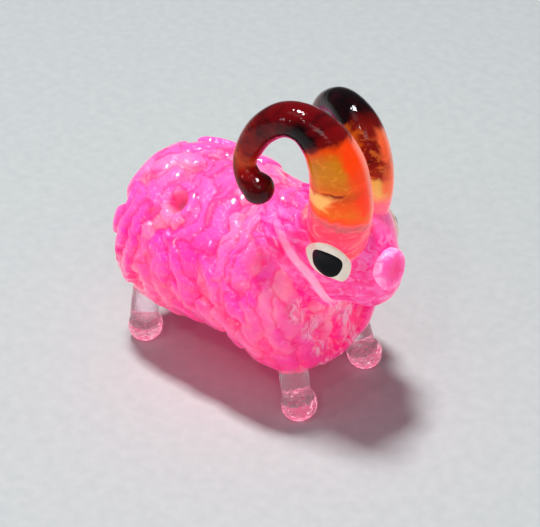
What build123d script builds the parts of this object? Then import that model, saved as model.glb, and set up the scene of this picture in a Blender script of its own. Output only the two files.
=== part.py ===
from build123d import *
import os
from math import cos, radians, sin, tan

os.makedirs("parts", exist_ok=True)

# Driving dimensions, mm. +X is forward, +Y the animal's left, and it stands on Z = 0.
body_length = 24.2          # over the wool, rump to chest
body_diameter = 18.2        # over the wool
body_height = 11.8          # axis of the body above the ground
body_setback = 2.5          # middle of the body behind the origin
wool_depth = 1.9            # from the clear core to the top of a wool trail
trail_diameter = 2.3
trail_relief = 0.6          # height of a trail above the wool bed between the trails

skull_diameter = 10.8
skull_forward = 9.1         # middle of the skull ahead of the origin
skull_rise = 6.5            # and above the body's axis
snout_diameter = 5.9
snout_reach = 3.4           # middle of the snout ahead of the skull's
snout_drop = 1.4            # and below it
nose_diameter = 4.1
nose_rim = 0.55             # radius of the button's rounded edge
nose_reach = 3.0            # front of the button ahead of the snout's middle
nose_rise = 1.2
nose_tilt = 8               # degrees that the button looks up

eye_length = 4.6
eye_width = 3.0
eye_depth = 0.3
pupil_length = 2.9
pupil_width = 2.1
pupil_depth = 0.14
eye_reach = 2.2             # centre of an eye ahead of the skull's middle
eye_spread = 5.0            # from the middle plane
eye_rise = 1.8              # and above the skull's middle

leg_diameter = 3.0
foot_diameter = 3.6
foot_flat = 0.15            # how much of a foot's ball is melted flat
foot_step = 0.3             # the ball's centre ahead of the leg
front_leg_forward = 8.1
rear_leg_back = 12.3
front_leg_spread = 5.3      # centre of a front foot from the middle plane
rear_leg_spread = 5.8
leg_top_height = 9.0
front_leg_lean = 0.8        # how much further back a leg is at its top
rear_leg_lean = -0.6
leg_draw_in = 1.2           # how much nearer the middle plane a leg is at its top

horn_root_rise = 2.4        # both horns: a point of the centre line inside the head, above the skull's middle
right_horn_rise = 13.0      # from there to the centre of its top
right_horn_diameter = 5.9
right_horn_reach = 1.8      # root ahead of the skull's middle
right_horn_spread = 3.05    # root from the middle plane
right_horn_sweep = 8.2      # root to the rearmost point of the horn's centre line
right_horn_splay = 4.0      # how far the tip stands further out than the root
left_horn_rise = 9.7
left_horn_diameter = 4.9
left_horn_reach = 0.9
left_horn_spread = 2.4
left_horn_sweep = 7.8
left_horn_splay = 4.4

fold_diameter = 1.5
tail_diameter = 2.4
tail_length = 3.4
tail_height = 13.6
curl_diameter = 4.0         # ring of wool around the hole that shows the core
curl_thread = 1.5
curl_hole = 2.1

body_fullness = 5           # exponent of the barrel's outline, 2 would be an ellipse
skull_height = body_height + skull_rise
snout_forward = skull_forward + snout_reach
snout_height = skull_height - snout_drop
horn_root_height = skull_height + horn_root_rise
body_radius = body_diameter / 2
body_reach = body_length / 2
trail_radius = trail_diameter / 2
body_axis = Axis((-body_setback, 0, body_height), (1, 0, 0))
bend_share = 0.45           # of the shorter run that a trail's arc takes up


def barrel(inset):
    """Solid barrel with well rounded ends, this far inside the body's outline."""
    corner_share = 0.5
    reach, radius = body_reach - inset, body_radius - inset
    with BuildPart() as solid:
        with BuildSketch(Plane(origin=(-body_setback - reach, 0, body_height), z_dir=(1, 0, 0))):
            Circle(radius)
        extrude(amount=2 * reach)
        fillet(solid.edges().filter_by(GeomType.CIRCLE), radius * corner_share)
    return solid.part


def ball(diameter, place, swell=0.0):
    """Ball of the head, swollen by this much all round."""
    with BuildPart() as solid:
        with Locations(place):
            Sphere(diameter / 2 + swell)
    return solid.part


def wool_point(station, bearing, inset):
    """Point under the wool's surface: station is a share of the half length, bearing turns from the top
    to the animal's right in degrees."""
    reach, radius = body_reach - inset, body_radius - inset
    across = radius * (1 - abs(station) ** body_fullness) ** (1 / body_fullness)
    turn = radians(bearing)
    return Vector(reach * station - body_setback, -across * sin(turn), body_height + across * cos(turn))


def wool_seat(station, bearing):
    """Plane that looks out of the body, at the middle of a trail."""
    middle = wool_point(station, bearing, trail_radius)
    return Plane(origin=middle, z_dir=middle - Vector(middle.X, 0, body_height))


def thread(points, radius):
    """Round glass thread through the points, with as large an arc at each as its runs allow."""
    bends = []
    for before, here, after in zip(points, points[1:], points[2:]):
        run, next_run = here - before, after - here
        half_turn = radians(run.get_angle(next_run)) / 2
        bends.append(bend_share * min(run.length, next_run.length) / tan(half_turn))
    with BuildPart() as solid:
        with BuildLine():
            route = FilletPolyline(*points, radius=bends)
        with BuildSketch(Plane(route @ 0, z_dir=route % 0)):
            Circle(radius)
        sweep(path=route)
    return solid.part


# Clear core
with BuildPart() as body_core:
    add(barrel(wool_depth))
body_core.part.label = "body_core"

# Head: skull and snout in one gather, melted onto the core
skull_middle = Vector(skull_forward, 0, skull_height)
snout_middle = Vector(snout_forward, 0, snout_height)
with BuildPart() as head:
    add(ball(skull_diameter, skull_middle))
    add(ball(snout_diameter, snout_middle))
    add(body_core.part, mode=Mode.SUBTRACT)
head.part.label = "head"

# Nose: a button with a rounded rim, pressed onto the snout
nose_aim = (cos(radians(nose_tilt)), 0, sin(radians(nose_tilt)))
nose_seat = Plane(origin=snout_middle + Vector(nose_reach, 0, nose_rise), z_dir=nose_aim)
with BuildPart() as nose:
    with BuildSketch(nose_seat):
        Circle(nose_diameter / 2)
    extrude(amount=-snout_diameter / 2)
    fillet(nose.edges().sort_by(Axis.X)[-1], nose_rim)
    add(head.part, mode=Mode.SUBTRACT)
nose.part.label = "nose"

# Eyes: an oval dot of cream glass with a rounded black one on it, both nearly flush with the head
pupil_shares = [(-0.57, 0.30), (0.16, 0.48), (0.43, 0.28), (0.46, -0.24), (0.19, -0.54), (-0.18, -0.48),
                (-0.48, -0.19)]
eye_out = Vector(eye_reach, -eye_spread, eye_rise)
eye_seat = Plane(origin=skull_middle + eye_out, x_dir=(0.84, 0.35, -0.41), z_dir=eye_out)


def lens(outline, top, under):
    """Dot of glass on the right side of the skull, from one swelling of it out to another."""
    with BuildPart() as dot:
        with BuildSketch(eye_seat):
            add(outline)
        extrude(amount=skull_diameter / 4, both=True)
        add(ball(skull_diameter, skull_middle, top), mode=Mode.INTERSECT)
        add(ball(skull_diameter, skull_middle, under), mode=Mode.SUBTRACT)
    return dot.part


with BuildSketch() as eye_oval:
    Ellipse(eye_length / 2, eye_width / 2)
with BuildSketch() as pupil_outline:
    with BuildLine():
        Polyline([(along * pupil_length, across * pupil_width) for along, across in pupil_shares], close=True)
    make_face()
    fillet(pupil_outline.vertices(), pupil_width / 6)
with BuildPart() as right_eye_white:
    add(lens(eye_oval.sketch, eye_depth, 0))
with BuildPart() as right_eye_pupil:
    add(lens(pupil_outline.sketch, eye_depth + pupil_depth, eye_depth))
with BuildPart() as left_eye_white:
    add(mirror(right_eye_white.part, about=Plane.XZ, mode=Mode.PRIVATE))
with BuildPart() as left_eye_pupil:
    add(mirror(right_eye_pupil.part, about=Plane.XZ, mode=Mode.PRIVATE))
right_eye_white.part.label = "right_eye_white"
right_eye_pupil.part.label = "right_eye_pupil"
left_eye_white.part.label = "left_eye_white"
left_eye_pupil.part.label = "left_eye_pupil"

# Horns: forward, outward and upward places as shares of sweep, splay and rise, then the share of the diameter
horn_shares = [(-0.085, -0.19, -0.16, 0.47), (-0.05, -0.06, 0.015, 0.74), (0.0, 0.0, 0.177, 0.97),
               (0.037, 0.025, 0.37, 1.0), (0.037, 0.0875, 0.56, 0.93), (-0.01, 0.17, 0.745, 0.85),
               (-0.12, 0.27, 0.89, 0.74), (-0.33, 0.41, 0.98, 0.61), (-0.57, 0.56, 0.975, 0.54),
               (-0.80, 0.71, 0.86, 0.485), (-0.945, 0.85, 0.69, 0.455), (-0.965, 0.95, 0.57, 0.44),
               (-0.88, 0.99, 0.49, 0.46), (-0.756, 1.0, 0.44, 0.49)]
horn_colour_change = 5      # place in the list where amber glass meets dark glass


def horn(reach, spread, rise, sweep_back, splay, diameter, side):
    """Root and curl of one horn, swept through round sections square to its centre line."""
    root_middle = Vector(skull_forward + reach, side * spread, horn_root_height)
    places = [root_middle + Vector(f * sweep_back, side * o * splay, u * rise) for f, o, u, _ in horn_shares]
    halves = []
    for first, last in ((0, horn_colour_change), (horn_colour_change, len(places) - 1)):
        run = places[first:last + 1]
        with BuildPart() as half:
            with BuildLine():
                aims = [(after - before).normalized() for before, after in
                        ((places[max(first - 1, 0)], places[first + 1]),
                         (places[last - 1], places[min(last + 1, len(places) - 1)]))]
                centre_line = Spline(run, tangents=aims)
            for place, (_, _, _, share) in zip(run, horn_shares[first:]):
                along = centre_line.tangent_at(place)
                with BuildSketch(Plane(origin=place, x_dir=Vector(0, 1, 0).cross(along), z_dir=along)):
                    Circle(diameter / 2 * share)
            sweep(path=centre_line, multisection=True)
        halves.append(half)
    root, curl = halves
    along, ball_radius = centre_line.tangent_at(places[-1]), diameter / 2 * horn_shares[-1][3]
    with curl:
        with BuildSketch(Plane(origin=places[-1], x_dir=along, z_dir=Vector(0, 1, 0).cross(along))):
            with BuildLine():
                JernArc((ball_radius, 0), (0, 1), ball_radius, 90)
                Polyline((0, ball_radius), (0, 0), (ball_radius, 0))
            make_face()
        revolve(axis=Axis(places[-1], along))
    return root.part, curl.part


right_root, right_curl = horn(right_horn_reach, right_horn_spread, right_horn_rise, right_horn_sweep,
                              right_horn_splay, right_horn_diameter, -1)
left_root, left_curl = horn(left_horn_reach, left_horn_spread, left_horn_rise, left_horn_sweep,
                            left_horn_splay, left_horn_diameter, 1)
with BuildPart() as right_horn_base:
    add(right_root)
    for melted in (head, right_eye_white, right_eye_pupil):
        add(melted.part, mode=Mode.SUBTRACT)
with BuildPart() as left_horn_base:
    add(left_root)
    for melted in (head, left_eye_white, left_eye_pupil, right_horn_base):
        add(melted.part, mode=Mode.SUBTRACT)
with BuildPart() as right_horn_curl:
    add(right_curl)
with BuildPart() as left_horn_curl:
    add(left_curl)
right_horn_base.part.label = "right_horn_base"
right_horn_curl.part.label = "right_horn_curl"
left_horn_base.part.label = "left_horn_base"
left_horn_curl.part.label = "left_horn_curl"

# Legs and feet: a rod that leans in, on a ball melted flat underneath
foot_radius = foot_diameter / 2
feet_places = {"front_right": (front_leg_forward, -front_leg_spread, front_leg_lean),
               "front_left": (front_leg_forward, front_leg_spread, front_leg_lean),
               "rear_right": (-rear_leg_back, -rear_leg_spread, rear_leg_lean),
               "rear_left": (-rear_leg_back, rear_leg_spread, rear_leg_lean)}
limbs, rods = {}, []
for name, (forward, sideways, lean) in feet_places.items():
    ankle = Vector(forward, sideways, foot_radius)
    inward = leg_draw_in if sideways < 0 else -leg_draw_in
    top = Vector(forward - lean, sideways + inward, leg_top_height)
    with BuildPart() as rod:
        with BuildSketch(Plane(origin=ankle, z_dir=top - ankle)):
            Circle(leg_diameter / 2)
        extrude(amount=(top - ankle).length)
    rods.append(rod.part)
    with BuildPart() as foot:
        with Locations((forward + foot_step, sideways, foot_radius - foot_flat)):
            Sphere(foot_radius)
        split(bisect_by=Plane.XY, keep=Keep.TOP)
    foot.part.label = name + "_foot"
    with BuildPart() as leg:
        add(rod.part)
        add(foot.part, mode=Mode.SUBTRACT)
        add(body_core.part, mode=Mode.SUBTRACT)
    leg.part.label = name + "_leg"
    limbs[foot.part.label] = foot.part
    limbs[leg.part.label] = leg.part

# Neck folds: three long pulled ridges a side, from behind the horn down under the chin
# Places are shares of the body's half length and of its radius out to the right and up, from its middle.
fold_shares = [[(0.34, 0.19, 0.86), (0.42, 0.20, 1.0), (0.57, 0.39, 0.92), (0.80, 0.54, 0.83),
                (0.97, 0.56, 0.66), (1.04, 0.44, 0.38), (1.01, 0.24, 0.10)],
               [(0.37, 0.10, 0.86), (0.45, 0.10, 1.03), (0.60, 0.28, 0.98), (0.82, 0.47, 0.97),
                (0.98, 0.56, 0.83), (1.07, 0.53, 0.62)],
               [(0.28, 0.30, 0.82), (0.36, 0.33, 0.95), (0.50, 0.46, 0.88), (0.70, 0.60, 0.76),
                (0.86, 0.62, 0.60), (0.97, 0.50, 0.36), (0.99, 0.32, 0.12)]]
with BuildPart() as ridges:
    for ridge in fold_shares:
        places = [Vector(body_reach * along - body_setback, -body_radius * out,
                         body_radius * up + body_height) for along, out, up in ridge]
        add(thread(places, fold_diameter / 2))
with BuildPart() as clear_ridges:
    add(ridges.part)
    add(head.part, mode=Mode.SUBTRACT)
    add(body_core.part, mode=Mode.SUBTRACT)
with BuildPart() as right_neck_folds:
    add(clear_ridges.part)
    for melted in (right_eye_white, right_eye_pupil, right_horn_base):
        add(melted.part, mode=Mode.SUBTRACT)
with BuildPart() as left_neck_folds:
    add(mirror(clear_ridges.part, about=Plane.XZ, mode=Mode.PRIVATE))
    for melted in (left_eye_white, left_eye_pupil, left_horn_base):
        add(melted.part, mode=Mode.SUBTRACT)
right_neck_folds.part.label = "right_neck_folds"
left_neck_folds.part.label = "left_neck_folds"

# Wool: trails wound round the core side by side, so that every region is a row of ribs with creases between
# A crease is at a station, a share of the half length, or on an end at a ring, a share of the radius.
side_crease_shares = [-0.95, -0.85, -0.69, -0.52, -0.34, -0.17, 0.0, 0.17, 0.34, 0.51, 0.68, 0.85, 0.95]
end_crease_shares = [0.5, 0.22]
crease_shift_share = 0.03       # how far neighbouring regions' creases are out of step
# Regions: first and last crease of the side, the two bearings, and the way their creases are shifted
regions = {"back_wool": (2, 8, -44, 60, 1), "right_flank_wool": (2, 8, 60, 128, -1),
           "left_flank_wool": (2, 8, 232, 316, -1), "belly_wool": (2, 10, 128, 232, 1),
           "right_shoulder_wool": (8, 10, 0, 128, 1), "left_shoulder_wool": (8, 10, 232, 360, 1)}
# Lumps laid on the trails: region, station, bearing and diameter as a share of the body's diameter
lump_shares = [("back_wool", -0.56, -30, 0.19), ("back_wool", -0.28, -30, 0.19),
               ("back_wool", -0.02, -28, 0.16), ("back_wool", -0.55, 10, 0.17),
               ("back_wool", -0.10, 34, 0.15), ("back_wool", 0.10, 10, 0.15), ("back_wool", 0.20, 36, 0.15),
               ("back_wool", -0.28, -6, 0.15), ("back_wool", 0.20, -22, 0.14),
               ("right_flank_wool", -0.52, 74, 0.15), ("right_flank_wool", -0.30, 74, 0.16),
               ("right_flank_wool", -0.02, 76, 0.15), ("right_flank_wool", 0.20, 76, 0.15),
               ("right_flank_wool", -0.52, 112, 0.16), ("right_flank_wool", -0.30, 112, 0.16),
               ("right_flank_wool", -0.06, 112, 0.17), ("right_flank_wool", 0.16, 112, 0.17),
               ("left_flank_wool", -0.54, 248, 0.15), ("left_flank_wool", -0.28, 246, 0.15),
               ("left_flank_wool", 0.0, 248, 0.15), ("left_flank_wool", 0.2, 262, 0.14),
               ("left_flank_wool", -0.44, 280, 0.14), ("left_flank_wool", -0.12, 286, 0.15),
               ("left_flank_wool", 0.12, 300, 0.14),
               ("right_shoulder_wool", 0.50, 48, 0.15), ("right_shoulder_wool", 0.49, 84, 0.15),
               ("right_shoulder_wool", 0.51, 114, 0.15),
               ("left_shoulder_wool", 0.50, 306, 0.15), ("left_shoulder_wool", 0.51, 270, 0.14),
               ("left_shoulder_wool", 0.49, 246, 0.14),
               ("rump_wool", -0.91, 12, 0.20), ("rump_wool", -0.91, 30, 0.19),
               ("rump_wool", -0.89, -14, 0.18), ("rump_wool", -0.95, 72, 0.21),
               ("rump_wool", -0.90, 100, 0.16), ("rump_wool", -0.94, 250, 0.15),
               ("rump_wool", -0.93, 300, 0.15), ("rump_wool", -0.95, 150, 0.14),
               ("rump_wool", -0.89, 52, 0.16),
               ("right_chest_wool", 0.92, 66, 0.16), ("right_chest_wool", 0.95, 96, 0.16),
               ("right_chest_wool", 0.93, 128, 0.16),
               ("left_chest_wool", 0.95, 264, 0.15), ("left_chest_wool", 0.96, 226, 0.14)]
curl_station, curl_bearing = -0.36, 37


def ring_station(ring):
    """Station at which the body's outline has narrowed to this share of its radius."""
    return (1 - ring ** body_fullness) ** (1 / body_fullness)


def radial_plane(bearing):
    """Plane through the body's axis, its own X along the axis and its own Y out at this bearing."""
    turn = radians(bearing)
    return Plane(origin=body_axis.position, x_dir=(1, 0, 0), z_dir=(0, -cos(turn), -sin(turn)))


def ribs(creases, from_bearing, to_bearing):
    """Row of round ribs between neighbouring creases, turned about the body's axis between two bearings."""
    reach, radius = body_reach - trail_relief, body_radius - trail_relief
    valleys = [Vector(reach * station, radius * (1 - abs(station) ** body_fullness) ** (1 / body_fullness))
               for station in creases]
    with BuildPart() as solid:
        with BuildSketch(radial_plane(from_bearing)):
            with BuildLine():
                for start, stop in zip(valleys, valleys[1:]):
                    outward = Vector(0, 0, 1).cross(stop - start).normalized()
                    ThreePointArc(start, (start + stop) / 2 + outward * trail_relief, stop)
                corners = [valleys[-1], Vector(valleys[-1].X, 0), Vector(valleys[0].X, 0), valleys[0]]
                for start, stop in zip(corners, corners[1:]):
                    if (stop - start).length > trail_relief / 100:
                        Line(start, stop)
            make_face()
        revolve(axis=body_axis, revolution_arc=to_bearing - from_bearing)
    return solid.part


def wool_region(name, creases, from_bearing, to_bearing):
    """One region of the wool, with its lumps, cut clear of everything that it is melted onto."""
    with BuildPart() as region:
        add(ribs(creases, from_bearing, to_bearing))
        for owner, station, bearing, share in lump_shares:
            if owner == name:
                with Locations(wool_seat(station, bearing)):
                    Sphere(share * body_diameter / 2)
        if name == "back_wool":
            with Locations(wool_seat(curl_station, curl_bearing)):
                Torus(curl_diameter / 2, curl_thread / 2)
                Cylinder(curl_hole / 2, 2 * wool_depth, mode=Mode.SUBTRACT)
        for solid in under_wool:
            add(solid, mode=Mode.SUBTRACT)
    region.part.label = name
    return region.part


under_wool = [body_core.part, head.part, ridges.part, mirror(ridges.part, about=Plane.XZ), *rods]
wool = {}
for name, (first, last, from_bearing, to_bearing, way) in regions.items():
    inner = [station + way * crease_shift_share for station in side_crease_shares[first + 1:last]]
    creases = [side_crease_shares[first], *inner, side_crease_shares[last]]
    wool[name] = wool_region(name, creases, from_bearing, to_bearing)
rings = [ring_station(ring) for ring in end_crease_shares]
rump_creases = [-1] + [-ring for ring in reversed(rings)] + side_crease_shares[:3]
wool["rump_wool"] = wool_region("rump_wool", rump_creases, 0, 360)
chest_creases = side_crease_shares[10:] + rings + [1]
wool["right_chest_wool"] = wool_region("right_chest_wool", chest_creases, 0, 180)
wool["left_chest_wool"] = wool_region("left_chest_wool", chest_creases, 180, 360)

# Tail: a small dab that points down at the middle of the rump
tail_root = Vector(-body_setback - body_reach + tail_diameter / 2, 0, tail_height)
tail_tip = tail_root + Vector(-tail_diameter / 2, 0, tail_diameter - tail_length)
with BuildPart() as tail:
    with BuildSketch(Plane(origin=tail_root, z_dir=tail_tip - tail_root)):
        Circle(tail_diameter / 2)
    extrude(amount=(tail_tip - tail_root).length)
    with Locations(tail_root, tail_tip):
        Sphere(tail_diameter / 2)
    add(wool["rump_wool"], mode=Mode.SUBTRACT)
    add(body_core.part, mode=Mode.SUBTRACT)
tail.part.label = "tail"

pieces = [body_core.part, head.part, nose.part,
          right_eye_white.part, right_eye_pupil.part, left_eye_white.part, left_eye_pupil.part,
          right_horn_base.part, right_horn_curl.part, left_horn_base.part, left_horn_curl.part,
          right_neck_folds.part, left_neck_folds.part, tail.part, *limbs.values(), *wool.values()]
for piece in pieces:
    export_step(piece, "parts/" + piece.label + ".step")
    print(piece.label, round(piece.volume, 2), len(piece.solids()), piece.is_valid)
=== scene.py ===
import bpy
import numpy as np
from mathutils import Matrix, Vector


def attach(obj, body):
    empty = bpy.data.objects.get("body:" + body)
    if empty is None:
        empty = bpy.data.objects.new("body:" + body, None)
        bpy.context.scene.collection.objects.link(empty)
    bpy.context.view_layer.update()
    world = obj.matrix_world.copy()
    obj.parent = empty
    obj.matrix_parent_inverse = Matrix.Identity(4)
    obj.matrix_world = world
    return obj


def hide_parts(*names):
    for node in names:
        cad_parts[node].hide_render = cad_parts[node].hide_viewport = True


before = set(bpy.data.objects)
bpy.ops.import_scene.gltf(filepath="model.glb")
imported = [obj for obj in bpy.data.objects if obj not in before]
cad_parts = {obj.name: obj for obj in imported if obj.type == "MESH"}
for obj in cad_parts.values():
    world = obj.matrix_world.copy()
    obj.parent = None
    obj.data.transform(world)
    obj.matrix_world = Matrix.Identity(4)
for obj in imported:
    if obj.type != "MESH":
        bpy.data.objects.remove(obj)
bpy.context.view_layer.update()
mm = 0.001          # lengths below are in millimetres, the meshes in metres
print("frame loaded:", len(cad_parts), "solids")


# Shapes from arrays

def unit(vectors):
    # Each vector divided by its length.
    return vectors / np.maximum(np.linalg.norm(vectors, axis=-1, keepdims=True), 1e-12)


def dot(a, b):
    return (a * b).sum(-1)


def ramp(edgeLow, edgeHigh, x):
    # Smooth step: 3t^2 - 2t^3, with t going from 0 to 1 between the two edges.
    t = np.clip((x - edgeLow) / (edgeHigh - edgeLow), 0, 1)
    return t * t * (3 - 2 * t)


def meltOver(first, second, melt):
    # Smooth maximum: max(a, b) + (k - |a - b|)^2 / 4k where the two are nearer than k.
    return np.maximum(first, second) + np.maximum(melt - np.abs(first - second), 0) ** 2 / (4 * melt)


def meltTogether(first, second, melt):
    # Smooth minimum: min(a, b) - (k - |a - b|)^2 / 4k where the two are nearer than k.
    return np.minimum(first, second) - np.maximum(melt - np.abs(first - second), 0) ** 2 / (4 * melt)


def wholeTurn(sides):
    # Angles round a ring.
    return np.linspace(0, 2 * np.pi, sides, endpoint=False)


def makePiece(name, points, quads, tris, fields=None):
    # A mesh with smooth faces: points in mm, faces as vertex numbers, and named values for each point.
    mesh = bpy.data.meshes.new(name)
    quads, tris = np.reshape(quads, (-1, 4)), np.reshape(tris, (-1, 3))
    corners = np.concatenate([quads.ravel(), tris.ravel()]).astype(np.int32)
    sizes = np.concatenate([np.full(len(quads), 4), np.full(len(tris), 3)])
    mesh.vertices.add(len(points))
    mesh.vertices.foreach_set("co", (points * mm).astype(np.float32).ravel())
    mesh.loops.add(len(corners))
    mesh.loops.foreach_set("vertex_index", corners)
    mesh.polygons.add(len(sizes))
    mesh.polygons.foreach_set("loop_start", (np.cumsum(sizes) - sizes).astype(np.int32))
    mesh.polygons.foreach_set("use_smooth", np.ones(len(sizes), bool))
    mesh.update(calc_edges=True)
    for key, values in (fields or {}).items():
        field = mesh.attributes.new(key, "FLOAT", "POINT")
        field.data.foreach_set("value", values.astype(np.float32).ravel())
    piece = bpy.data.objects.new(name, mesh)
    bpy.context.scene.collection.objects.link(piece)
    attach(piece, "root")
    return piece


def latheGrid(grid, firstPole, lastPole):
    # Closed skin over rows of points: every row is a ring, and a point closes each end. Rows run from the
    # first pole to the last, and each ring turns to the right as seen from the last pole.
    rows, columns = grid.shape[:2]
    index = np.arange(rows * columns).reshape(rows, columns)
    beside = np.roll(index, -1, axis=1)
    quads = np.stack([index[1:], beside[1:], beside[:-1], index[:-1]], -1)
    first, last = rows * columns, rows * columns + 1
    tris = np.concatenate([np.stack([index[0], beside[0], np.full(columns, first)], -1),
                           np.stack([beside[-1], index[-1], np.full(columns, last)], -1)])
    return np.concatenate([grid.reshape(-1, 3), [firstPole, lastPole]]), quads, tris


def makeSkin(name, grid, firstPole, lastPole, fields=None):
    # A piece of one closed skin.
    return makePiece(name, *latheGrid(grid, firstPole, lastPole), fields)


def alongPath(points, count):
    # Catmull-Rom curve through the points, in even steps by length:
    # p(t) = (2b + (c - a)t + (2a - 5b + 4c - d)t^2 + (3b - a - 3c + d)t^3) / 2.
    # It takes any number of values a point, so that a radius can go with the place.
    points = np.asarray(points, float)
    ends = np.concatenate([[2 * points[0] - points[1]], points, [2 * points[-1] - points[-2]]])
    share = np.linspace(0, len(points) - 1, 40 * len(points))
    start = np.minimum(share.astype(int), len(points) - 2)
    t = (share - start)[:, None]
    a, b, c, d = (ends[start + k] for k in range(4))
    curve = (2 * b + (c - a) * t + (2 * a - 5 * b + 4 * c - d) * t**2 + (3 * b - a - 3 * c + d) * t**3) / 2
    run = np.concatenate([[0], np.cumsum(np.linalg.norm(np.diff(curve[:, :3], axis=0), axis=1))])
    steps = np.linspace(0, run[-1], count)
    places = np.stack([np.interp(steps, run, curve[:, k]) for k in range(curve.shape[1])], -1)
    return places, np.interp(steps, run, share)


def rodGrid(places, radii, outward, sides, flat=1.0, capShare=1.0, capRows=8):
    # Round section carried along a path: p + r(cos(a) flat out - sin(a) side), with the out direction kept
    # near "outward". Each end is closed by a quarter turn of its own radius.
    along = unit(np.gradient(places, axis=0))
    turn = np.linspace(0, np.pi / 2, capRows, endpoint=False)[1:]
    first = places[0] - along[0] * radii[0] * capShare * np.sin(turn[::-1, None])
    last = places[-1] + along[-1] * radii[-1] * capShare * np.sin(turn[:, None])
    centres = np.concatenate([first, places, last])
    size = np.concatenate([radii[0] * np.cos(turn[::-1]), radii, radii[-1] * np.cos(turn)])
    ends = np.clip(np.arange(len(centres)) - len(turn), 0, len(places) - 1)
    heading = along[ends]
    guide = np.broadcast_to(outward, places.shape)[ends]
    out = unit(guide - heading * dot(guide, heading)[:, None])
    side = np.cross(heading, out)
    angle = wholeTurn(sides)
    ring = np.cos(angle)[None, :, None] * out[:, None] * flat - np.sin(angle)[None, :, None] * side[:, None]
    grid = centres[:, None] + size[:, None, None] * ring
    return grid, places[0] - along[0] * radii[0] * capShare, places[-1] + along[-1] * radii[-1] * capShare


# Materials from expressions

class Value:
    # A socket that adds Math nodes when it is used in an expression.
    def __init__(self, maker, socket):
        self.maker, self.socket = maker, socket

    def math(self, operation, *others, **settings):
        ends = dict(enumerate([self.socket, *others]))
        return self.maker.node("ShaderNodeMath", {"operation": operation, **settings}, ends)

    def __add__(self, other):
        return self.math("ADD", other)

    def __mul__(self, other):
        return self.math("MULTIPLY", other)

    __radd__, __rmul__ = __add__, __mul__

    def __sub__(self, other):
        return self.math("SUBTRACT", other)

    def __rsub__(self, other):
        return (self * -1.0).math("ADD", other)

    def __pow__(self, other):
        return self.math("POWER", other)

    def clamp(self):
        return self.math("ADD", 0.0, use_clamp=True)

    def step(self, low, high):
        # Smooth step between two values.
        return self.maker.node("ShaderNodeMapRange", {"interpolation_type": "SMOOTHSTEP"},
                               {0: self.socket, 1: low, 2: high, 3: 0.0, 4: 1.0})


class Finish:
    # One material with its Principled shader.
    def __init__(self, name, **constants):
        self.material = bpy.data.materials.new(name)
        self.material.use_nodes = True
        self.tree = self.material.node_tree
        self.shader = self.tree.nodes["Principled BSDF"]
        for key, value in constants.items():
            self.shader.inputs[key.replace("_", " ")].default_value = value

    def node(self, kind, settings, ends, output=0):
        # Adds a node, sets its settings first, then its sockets' values or links, and gives back one output.
        made = self.tree.nodes.new(kind)
        for key, value in settings.items():
            if key == "stops":
                band = made.color_ramp.elements
                while len(band) < len(value):
                    band.new(0.5)
                for element, (place, *colour) in zip(band, value):
                    element.position, element.color = place, (*rgb(*colour), 1.0)
            else:
                setattr(made, key, value)
        for key, end in ends.items():
            end = getattr(end, "socket", end)
            if isinstance(end, bpy.types.NodeSocket):
                self.tree.links.new(end, made.inputs[key])
            else:
                made.inputs[key].default_value = end
        return Value(self, made.outputs[output])

    def place(self, scale=(1, 1, 1), turn=(0, 0, 0)):
        # Object coordinates in millimetres, scaled and turned.
        where = self.node("ShaderNodeTexCoord", {}, {}, "Object")
        scale = tuple(k / mm for k in scale)
        return self.node("ShaderNodeMapping", {}, {"Vector": where, "Rotation": turn, "Scale": scale})

    def noise(self, where, scale, detail=2.0, twist=0.0):
        ends = {"Vector": where, "Scale": scale, "Detail": detail, "Distortion": twist}
        return self.node("ShaderNodeTexNoise", {}, ends, "Fac")

    def cells(self, where, scale):
        return self.node("ShaderNodeTexVoronoi", {}, {"Vector": where, "Scale": scale}, "Distance")

    def field(self, name):
        return self.node("ShaderNodeAttribute", {"attribute_name": name}, {}, "Fac")

    def mix(self, share, first, second, way="MIX"):
        # Colour mix: first at share 0, second at share 1.
        made = self.tree.nodes.new("ShaderNodeMix")
        made.data_type, made.blend_type = "RGBA", way
        sockets = {s.identifier: s for s in made.inputs}
        for key, end in (("Factor_Float", share), ("A_Color", first), ("B_Color", second)):
            end = getattr(end, "socket", end)
            if isinstance(end, bpy.types.NodeSocket):
                self.tree.links.new(end, sockets[key])
            else:
                sockets[key].default_value = (*end, 1.0) if isinstance(end, tuple) else end
        return Value(self, next(s for s in made.outputs if s.identifier == "Result_Color"))

    def scale(self, share, stops):
        # Colour at a share between 0 and 1. Each stop is its place and a display colour.
        return self.node("ShaderNodeValToRGB", {"stops": stops}, {"Fac": share}, "Color")

    def bump(self, height, depth, under=None):
        ends = {"Height": height, "Strength": 1.0, "Distance": depth * mm}
        if under is not None:
            ends["Normal"] = under
        return self.node("ShaderNodeBump", {}, ends, "Normal")

    def join(self, **links):
        for key, value in links.items():
            self.tree.links.new(value.socket, self.shader.inputs[key.replace("_", " ")])
        return self.material


def rgb(red, green, blue):
    # Display colour from 0 to 255, as the shader's linear one: ((c + 0.055) / 1.055)^2.4, or c / 12.92
    # near black.
    shares = np.array([red, green, blue]) / 255
    linear = np.where(shares > 0.04045, ((shares + 0.055) / 1.055) ** 2.4, shares / 12.92)
    return tuple(float(v) for v in linear)


def dress(piece, material, slot, *nodes):
    # Gives a piece its finish and hides the solids that it stands for. The slot is not used.
    piece.data.materials.clear()
    piece.data.materials.append(material)
    if nodes:
        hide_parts(*nodes)


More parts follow.
